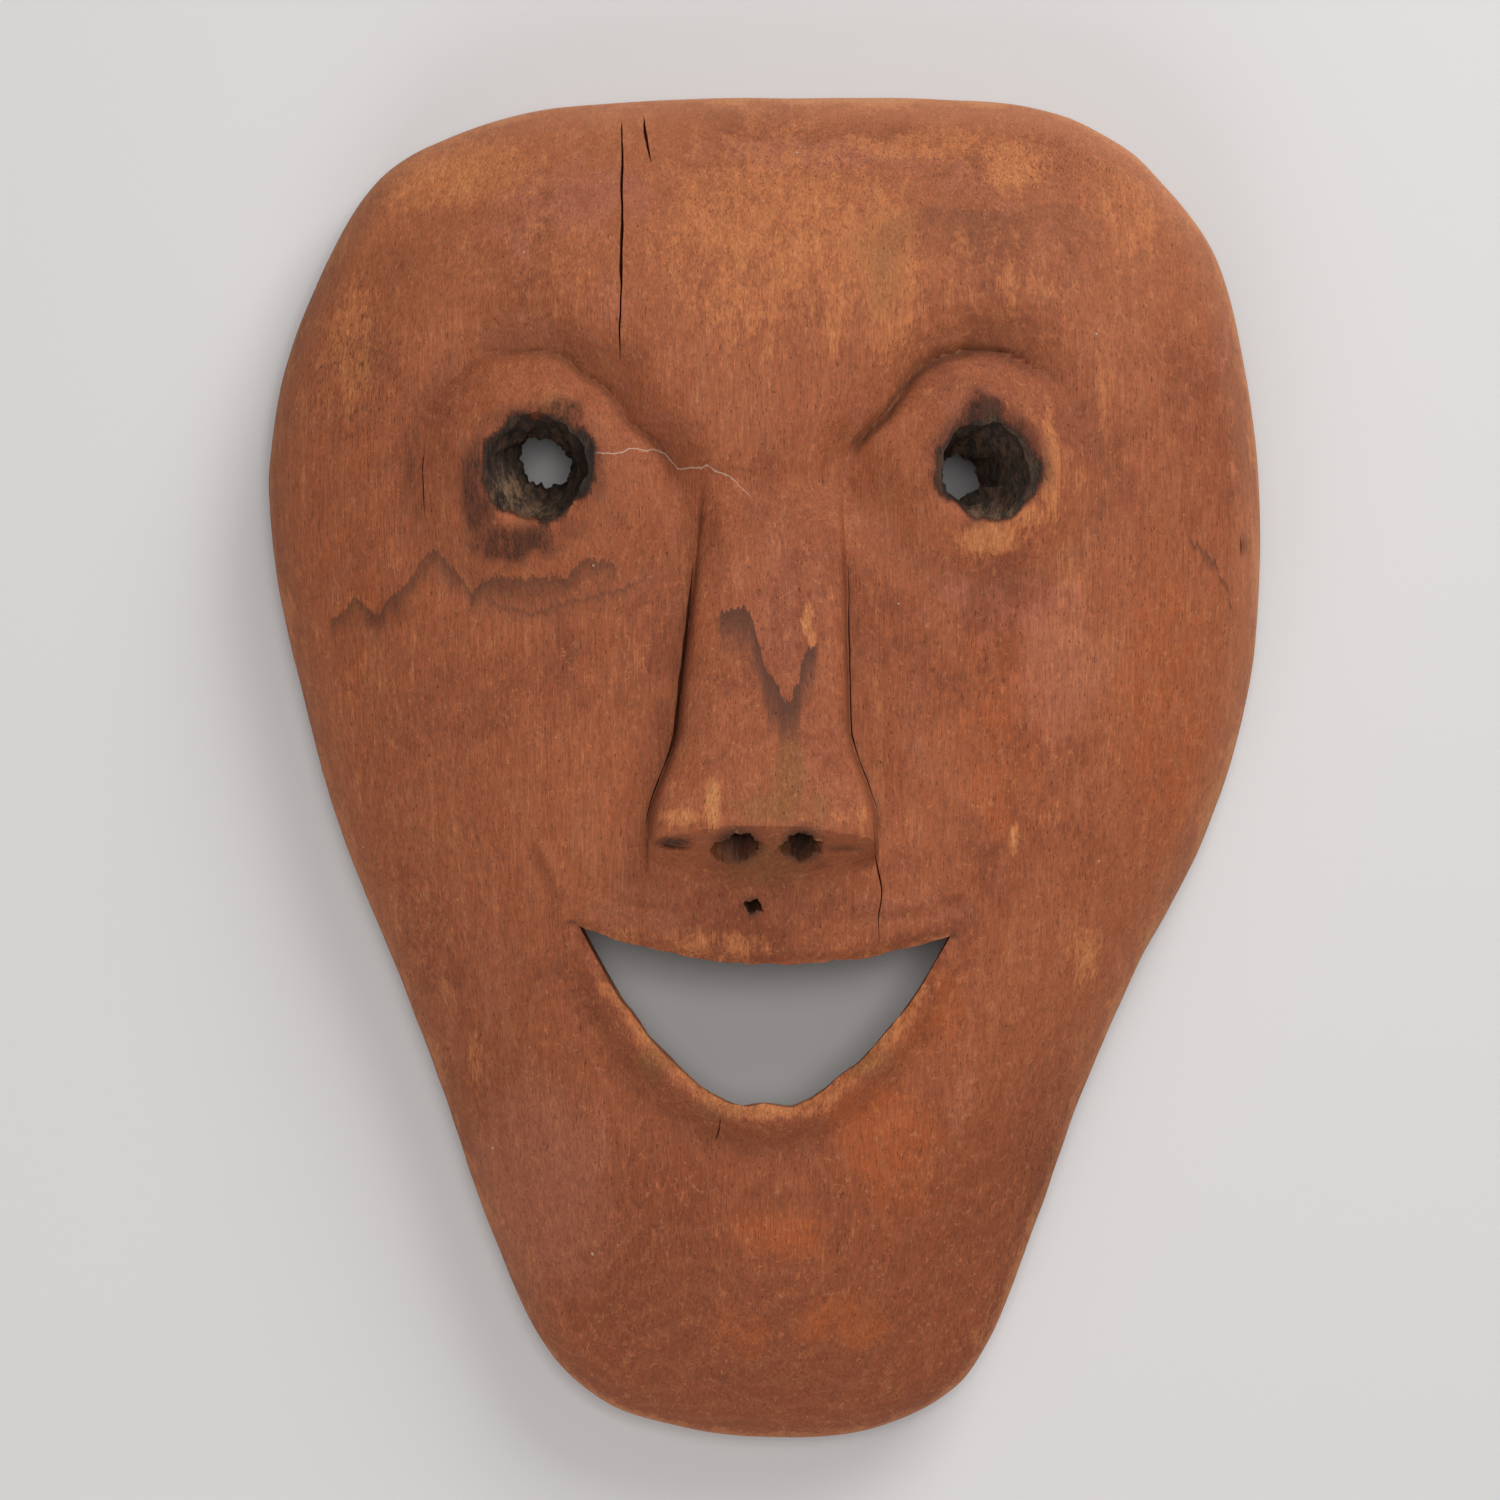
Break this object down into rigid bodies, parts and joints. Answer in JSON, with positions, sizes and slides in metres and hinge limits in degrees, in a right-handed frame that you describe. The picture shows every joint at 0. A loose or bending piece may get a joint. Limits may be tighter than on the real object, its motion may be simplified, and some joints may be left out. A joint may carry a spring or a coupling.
{
  "type": "carved wooden folk art mask",
  "caption": "Carved wooden face mask, hollow behind, with a wedge nose, burnt round eye holes and a cut-out grinning mouth; it lies face up on its flat back rim.",
  "frame": {"origin": "middle of the outline, in the plane of the flat rim that the mask lies on", "axes": "+Z out of the face, +Y from the chin to the top of the forehead, +X to the right of someone looking at the face"},
  "size_m": [0.2151, 0.2908, 0.0658],
  "materials": {
    "painted_wood": "matt red-brown earth paint, worn through to ochre wood"
  },
  "bodies": {
    "root": {"mask": "painted_wood"}
  },
  "joints": []
}
